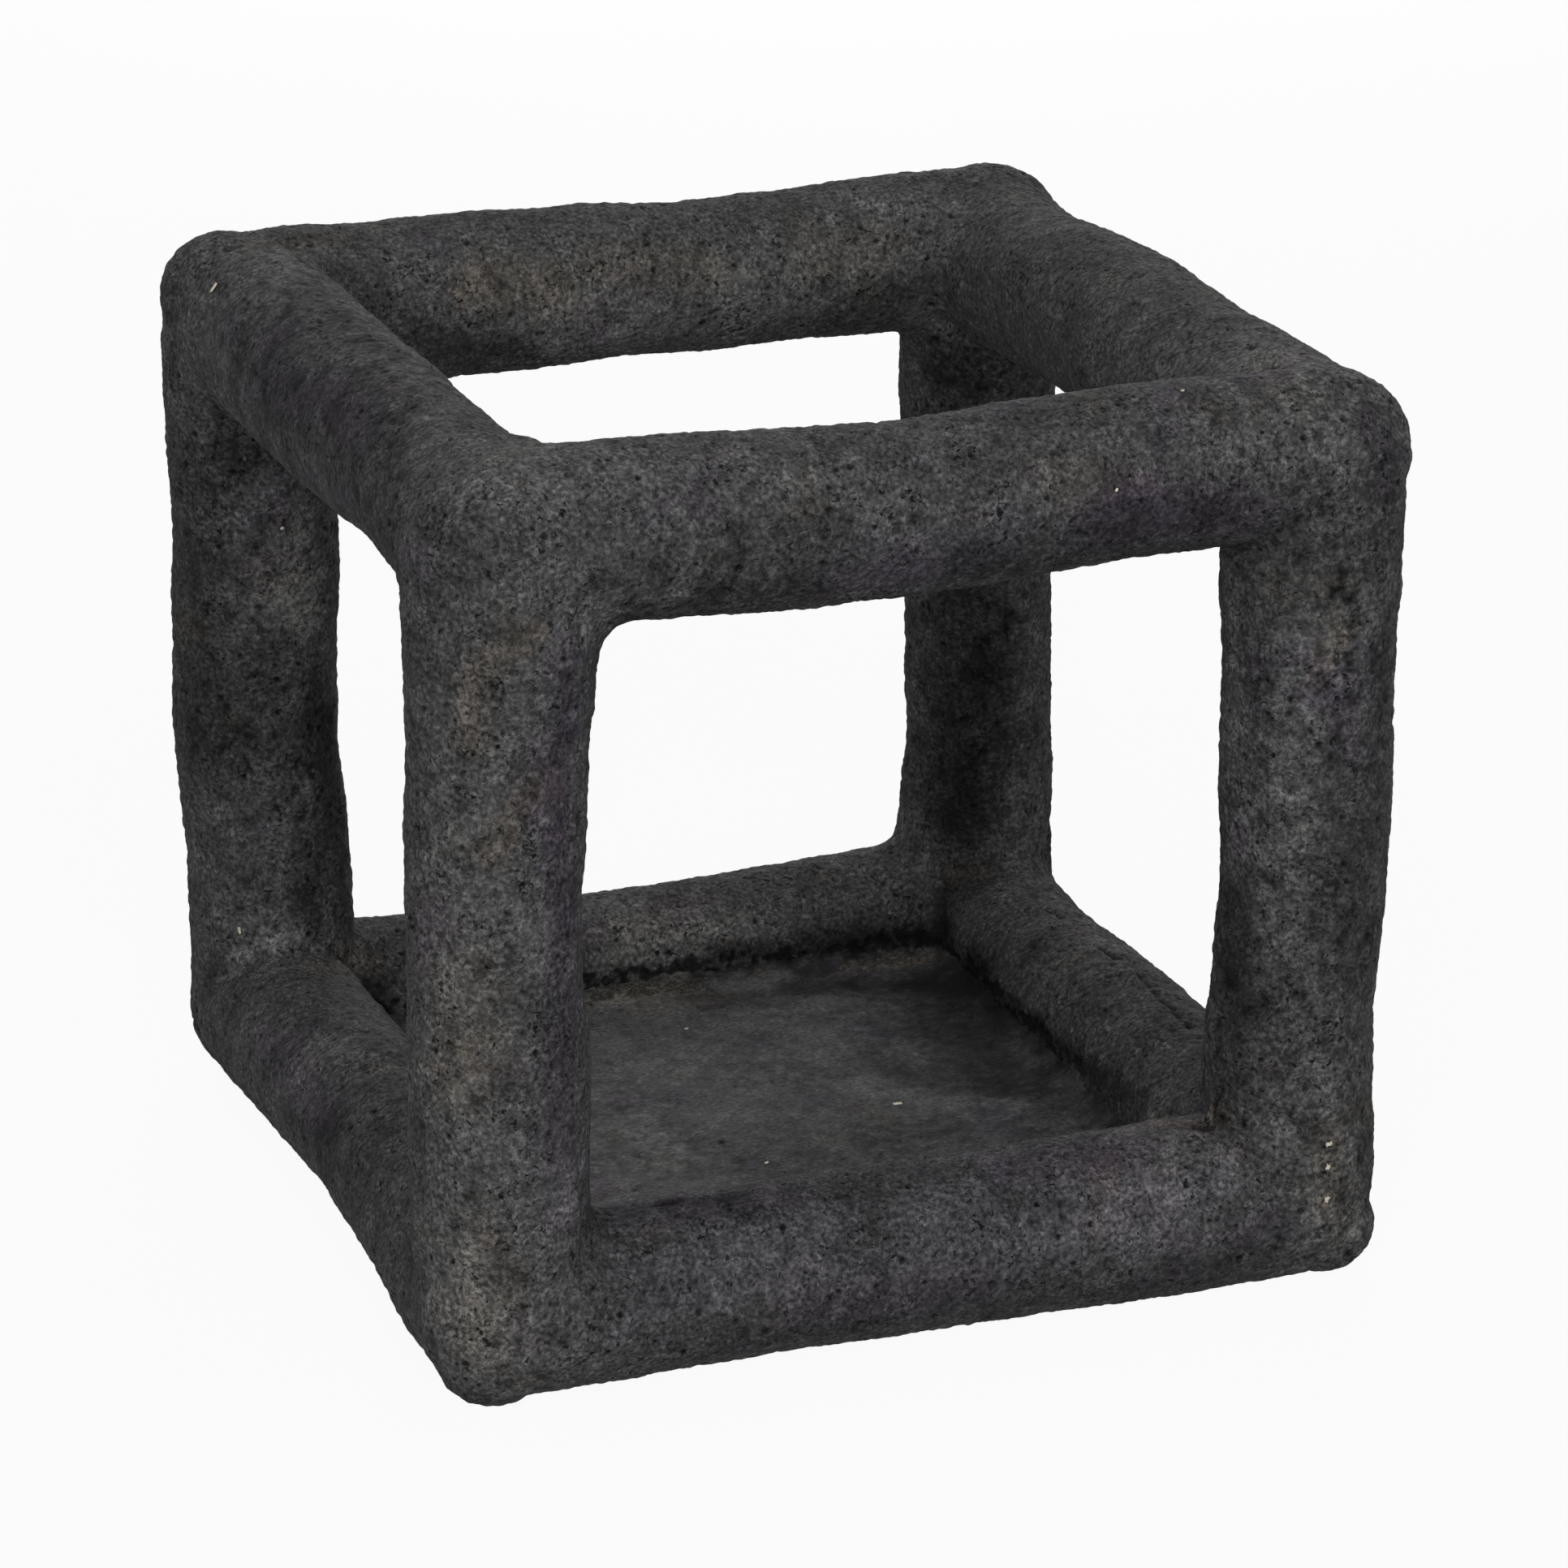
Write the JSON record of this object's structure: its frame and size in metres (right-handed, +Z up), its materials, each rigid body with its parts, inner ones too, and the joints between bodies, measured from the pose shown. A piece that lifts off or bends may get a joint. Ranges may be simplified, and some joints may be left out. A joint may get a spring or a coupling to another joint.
{
  "type": "open cube stand",
  "caption": "Open cube stand of thick hand-formed papier-mache bars round a recessed square floor, to hold a candle, a pot or an ornament.",
  "frame": {"origin": "on the ground, under the middle of the cube", "axes": "+X right along the front face, +Y to the back, +Z up"},
  "size_m": [0.241, 0.2405, 0.226],
  "materials": {
    "pulp": "coarse charcoal paper pulp, dry and matt",
    "floor_pulp": "charcoal paper pulp, rubbed smoother than the bars",
    "tube_card": "plain spiral-wound card",
    "board_card": "plain grey-brown card"
  },
  "bodies": {
    "root": {"post_front_left": "pulp", "post_front_right": "pulp", "post_back_left": "pulp", "post_back_right": "pulp", "front_top_rail": "pulp", "back_top_rail": "pulp", "left_top_rail": "pulp", "right_top_rail": "pulp", "front_bottom_rail": "pulp", "back_bottom_rail": "pulp", "left_bottom_rail": "pulp", "right_bottom_rail": "pulp", "floor_top_coat": "floor_pulp", "floor_under_coat": "floor_pulp", "floor_board": "board_card", "post_front_left_tube": "tube_card", "post_front_right_tube": "tube_card", "post_back_left_tube": "tube_card", "post_back_right_tube": "tube_card", "front_top_rail_tube": "tube_card", "back_top_rail_tube": "tube_card", "left_top_rail_tube": "tube_card", "right_top_rail_tube": "tube_card", "front_bottom_rail_tube": "tube_card", "back_bottom_rail_tube": "tube_card", "left_bottom_rail_tube": "tube_card", "right_bottom_rail_tube": "tube_card"}
  },
  "joints": []
}
